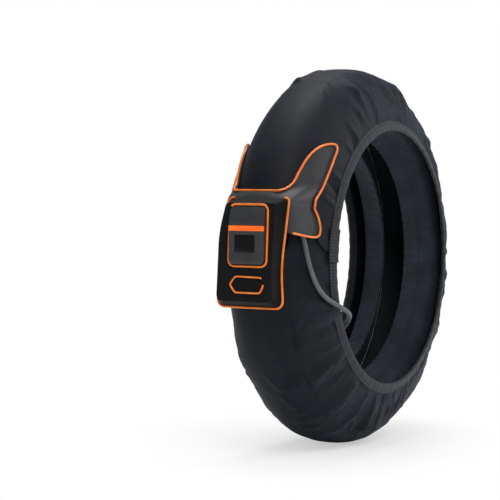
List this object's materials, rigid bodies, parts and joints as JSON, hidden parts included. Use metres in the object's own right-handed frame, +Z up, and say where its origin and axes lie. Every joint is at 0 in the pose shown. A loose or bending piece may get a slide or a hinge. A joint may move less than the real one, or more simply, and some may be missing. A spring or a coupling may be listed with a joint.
{
  "type": "tire warmer",
  "caption": "Heated fabric cover that wraps a motorcycle tire, with elastic hems, a gathered inner band, and a front pocket that holds the temperature controller and its cable.",
  "frame": {"origin": "centre of the wheel that the warmer is on, midway between its two hems", "axes": "+Y along the axle to the far side, -X towards the pocket and its controller, +Z up"},
  "size_m": [0.6854, 0.2664, 0.6544],
  "materials": {
    "cover_fabric": "matte",
    "wadding": "matte",
    "heating_wire": "satin",
    "lining_fabric": "matte",
    "skirt_fabric": "matte",
    "elastic": "matte",
    "binding_tape": "matte",
    "hook_tape": "matte",
    "loop_tape": "matte",
    "leatherette": "satin",
    "orange_piping": "satin",
    "cable_sheath": "satin",
    "black_rubber": "satin",
    "sensor_capsule": "matte",
    "pin_metal": "polished",
    "pocket_softshell": "matte",
    "patch_fabric": "matte",
    "controller_plastic": "satin",
    "orange_bar": "gloss",
    "display_glass": "gloss",
    "module_plastic": "satin",
    "board_laminate": "satin",
    "screw_steel": "satin"
  },
  "bodies": {
    "root": {"outer_cover": "cover_fabric", "closure_tongue": "cover_fabric", "insulation_wadding": "wadding", "heating_wire": "heating_wire", "inner_lining": "lining_fabric", "near_inner_skirt": "skirt_fabric", "far_inner_skirt": "skirt_fabric", "near_rim_gather": "skirt_fabric", "far_rim_gather": "skirt_fabric", "near_gather_elastic": "elastic", "far_gather_elastic": "elastic", "near_hem_elastic": "elastic", "far_hem_elastic": "elastic", "near_hem_binding": "binding_tape", "far_hem_binding": "binding_tape", "hem_tab": "binding_tape", "hook_tape": "hook_tape", "loop_tape": "loop_tape", "wing_panel": "leatherette", "panel_piping": "orange_piping", "pocket_piping": "orange_piping", "window_piping": "orange_piping", "patch_piping": "orange_piping", "patch": "patch_fabric", "pocket_pouch": "pocket_softshell", "pocket_back": "pocket_softshell", "controller_lead": "cable_sheath", "heater_lead": "black_rubber", "cable_boot": "black_rubber", "temperature_sensor": "sensor_capsule", "power_cable": "cable_sheath", "cable_coil": "cable_sheath", "cable_tie": "black_rubber", "plug_body": "black_rubber", "near_plug_pin": "pin_metal", "far_plug_pin": "pin_metal", "controller_back_shell": "controller_plastic", "controller_front_shell": "controller_plastic", "status_bar": "orange_bar", "display_window": "display_glass", "display_module": "module_plastic", "circuit_board": "board_laminate", "lower_near_screw": "screw_steel", "upper_near_screw": "screw_steel", "lower_far_screw": "screw_steel", "upper_far_screw": "screw_steel"}
  },
  "joints": []
}
